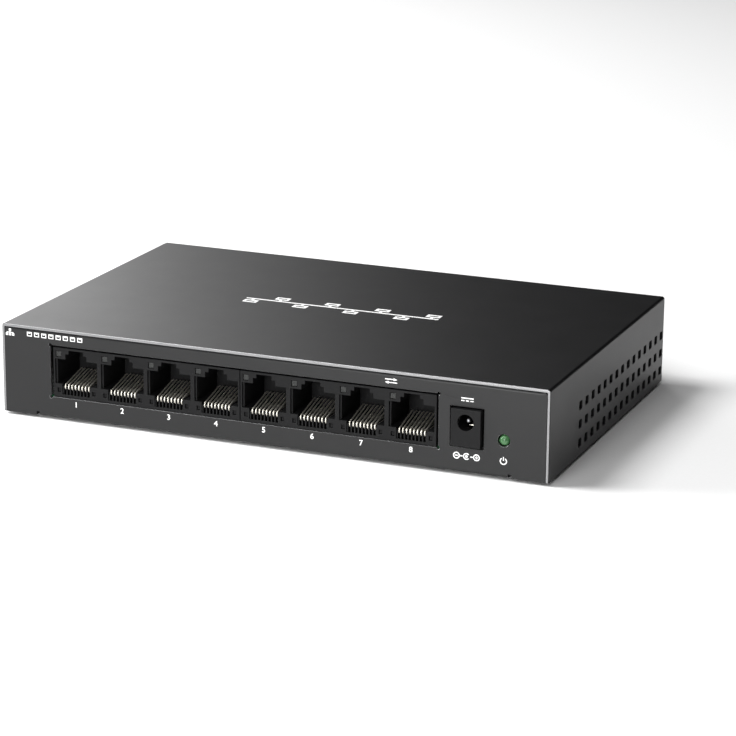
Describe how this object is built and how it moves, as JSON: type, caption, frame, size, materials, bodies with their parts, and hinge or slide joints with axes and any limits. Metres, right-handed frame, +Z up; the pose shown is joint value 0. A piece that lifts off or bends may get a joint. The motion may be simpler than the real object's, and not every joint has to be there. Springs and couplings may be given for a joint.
{
  "type": "desktop network switch",
  "caption": "Low black steel box with a row of network jacks, a round power socket and a green power light on the front and vented sides",
  "frame": {"origin": "on the table under the middle of the whole object", "axes": "+X to the right seen from the front, +Y from the front panel to the back, +Z up"},
  "size_m": [0.158, 0.1022, 0.0258],
  "materials": {
    "painted_steel": "fine-textured black powder coat on folded sheet steel",
    "black_screws": "black-oxide steel",
    "foot_rubber": "matt moulded rubber",
    "label_film": "blank matt polyester label",
    "circuit_board": "green solder mask over glass-fibre board",
    "tinned_metal": "tin and nickel plated metal",
    "insulating_film": "thin black insulating film",
    "jack_plastic": "black moulded PBT, lightly eroded",
    "gold_plating": "gold plated phosphor bronze wire",
    "lamp_resin": "clear lamp resin",
    "green_lamp_resin": "tinted green lamp resin",
    "chip_resin": "black moulded chip resin",
    "thermal_pad": "soft blue-grey silicone",
    "anodised_aluminium": "satin anodised extrusion",
    "fuse_body": "green resettable fuse laminate",
    "ferrite": "dark grey ferrite",
    "capacitor_can": "bare drawn aluminium can with a dark plastic base",
    "capacitor_ceramic": "tan fired ceramic",
    "resistor_body": "black glazed chip"
  },
  "bodies": {
    "case": {"top_cover": "painted_steel", "chassis": "painted_steel", "cover_screws": "black_screws", "rubber_feet": "foot_rubber", "rating_label": "label_film", "main_board": "circuit_board", "board_standoffs": "tinned_metal", "board_screws": "tinned_metal", "insulating_film": "insulating_film", "port_block_left": "jack_plastic", "port_block_right": "jack_plastic", "contact_leads_left": "gold_plating", "contact_leads_right": "gold_plating", "port_lights_left": "lamp_resin", "port_lights_right": "lamp_resin", "power_socket": "jack_plastic", "power_socket_pin": "tinned_metal", "power_socket_lugs": "tinned_metal", "power_light": "green_lamp_resin", "power_light_holder": "jack_plastic", "switch_chip": "chip_resin", "thermal_pad": "thermal_pad", "heat_sink": "anodised_aluminium", "clock_crystal": "tinned_metal", "memory_chip": "chip_resin", "line_transformer_1": "chip_resin", "line_transformer_2": "chip_resin", "line_transformer_3": "chip_resin", "line_transformer_4": "chip_resin", "power_fuse": "fuse_body", "surge_diode": "chip_resin", "voltage_regulator": "chip_resin", "power_inductor": "ferrite", "electrolytic_capacitors": "capacitor_can", "chip_capacitors": "capacitor_ceramic", "chip_resistors": "resistor_body"},
    "port_1_springs": {"contact_springs_1": "gold_plating"},
    "port_2_springs": {"contact_springs_2": "gold_plating"},
    "port_3_springs": {"contact_springs_3": "gold_plating"},
    "port_4_springs": {"contact_springs_4": "gold_plating"},
    "port_5_springs": {"contact_springs_5": "gold_plating"},
    "port_6_springs": {"contact_springs_6": "gold_plating"},
    "port_7_springs": {"contact_springs_7": "gold_plating"},
    "port_8_springs": {"contact_springs_8": "gold_plating"},
    "socket_spring": {"power_socket_spring": "gold_plating"}
  },
  "joints": [
    {"name": "port_1_contacts", "type": "hinge", "parent": "case", "child": "port_1_springs", "pos_m": [-0.05659, -0.04845, 0.0096], "axis": [-1, 0, 0], "range_deg": [0, 7], "stiffness_Nm_per_rad": 0.25},
    {"name": "port_2_contacts", "type": "hinge", "parent": "case", "child": "port_2_springs", "pos_m": [-0.04263, -0.04845, 0.0096], "axis": [-1, 0, 0], "range_deg": [0, 7], "stiffness_Nm_per_rad": 0.25},
    {"name": "port_3_contacts", "type": "hinge", "parent": "case", "child": "port_3_springs", "pos_m": [-0.02865, -0.04845, 0.0096], "axis": [-1, 0, 0], "range_deg": [0, 7], "stiffness_Nm_per_rad": 0.25},
    {"name": "port_4_contacts", "type": "hinge", "parent": "case", "child": "port_4_springs", "pos_m": [-0.01469, -0.04845, 0.0096], "axis": [-1, 0, 0], "range_deg": [0, 7], "stiffness_Nm_per_rad": 0.25},
    {"name": "port_5_contacts", "type": "hinge", "parent": "case", "child": "port_5_springs", "pos_m": [-0.00072, -0.04845, 0.0096], "axis": [-1, 0, 0], "range_deg": [0, 7], "stiffness_Nm_per_rad": 0.25},
    {"name": "port_6_contacts", "type": "hinge", "parent": "case", "child": "port_6_springs", "pos_m": [0.01325, -0.04845, 0.0096], "axis": [-1, 0, 0], "range_deg": [0, 7], "stiffness_Nm_per_rad": 0.25},
    {"name": "port_7_contacts", "type": "hinge", "parent": "case", "child": "port_7_springs", "pos_m": [0.02722, -0.04845, 0.0096], "axis": [-1, 0, 0], "range_deg": [0, 7], "stiffness_Nm_per_rad": 0.25},
    {"name": "port_8_contacts", "type": "hinge", "parent": "case", "child": "port_8_springs", "pos_m": [0.0412, -0.04845, 0.0096], "axis": [-1, 0, 0], "range_deg": [0, 7], "stiffness_Nm_per_rad": 0.25},
    {"name": "power_socket_contact", "type": "hinge", "parent": "case", "child": "socket_spring", "pos_m": [0.0566, -0.0398, 0.01165], "axis": [1, 0, 0], "range_deg": [0, 4], "stiffness_Nm_per_rad": 0.08}
  ]
}
